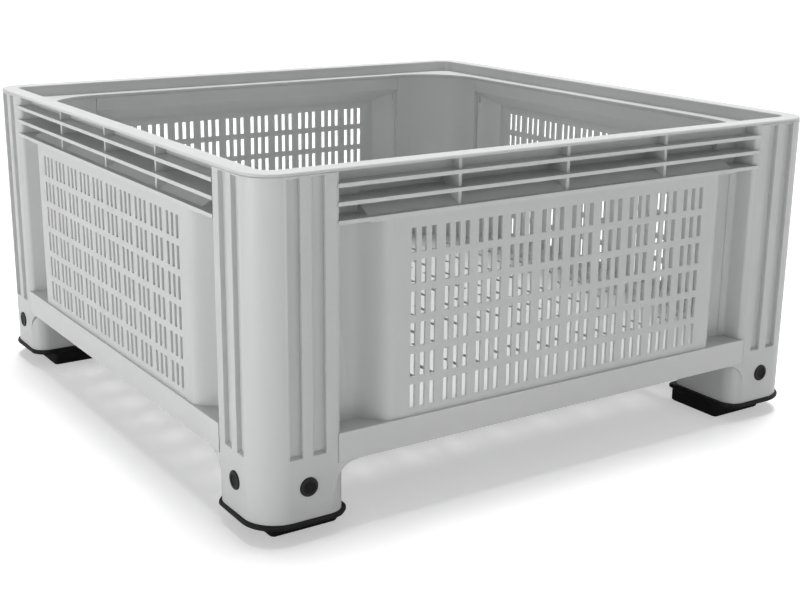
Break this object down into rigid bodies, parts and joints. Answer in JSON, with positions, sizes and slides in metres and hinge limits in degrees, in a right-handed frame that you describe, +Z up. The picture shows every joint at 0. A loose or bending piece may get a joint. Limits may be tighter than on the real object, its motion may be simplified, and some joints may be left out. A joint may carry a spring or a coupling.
{
  "type": "fruit bin",
  "caption": "Square vented plastic orchard bin with slotted side walls, ribbed stacking rim, corner posts that run down into feet, and black foot caps held by push pins.",
  "frame": {"origin": "middle of the footprint, on the floor under the foot caps", "axes": "+Z up, X along the front wall, -Y out of the front wall"},
  "size_m": [1.14, 1.14, 0.56],
  "materials": {
    "bin_plastic": "light grey moulded polyolefin, satin, fine moulded grain",
    "cap_plastic": "black moulded plastic, satin, scuffed where it meets the floor"
  },
  "bodies": {
    "root": {"base_tray": "bin_plastic", "corner_post_fl": "bin_plastic", "corner_post_fr": "bin_plastic", "corner_post_br": "bin_plastic", "corner_post_bl": "bin_plastic", "side_wall_front": "bin_plastic", "side_wall_right": "bin_plastic", "side_wall_back": "bin_plastic", "side_wall_left": "bin_plastic", "top_rim": "bin_plastic", "foot_cap_fl": "cap_plastic", "foot_cap_fr": "cap_plastic", "foot_cap_br": "cap_plastic", "foot_cap_bl": "cap_plastic", "cap_pin_fl_a": "cap_plastic", "cap_pin_fl_b": "cap_plastic", "cap_pin_fr_a": "cap_plastic", "cap_pin_fr_b": "cap_plastic", "cap_pin_br_a": "cap_plastic", "cap_pin_br_b": "cap_plastic", "cap_pin_bl_a": "cap_plastic", "cap_pin_bl_b": "cap_plastic"}
  },
  "joints": []
}
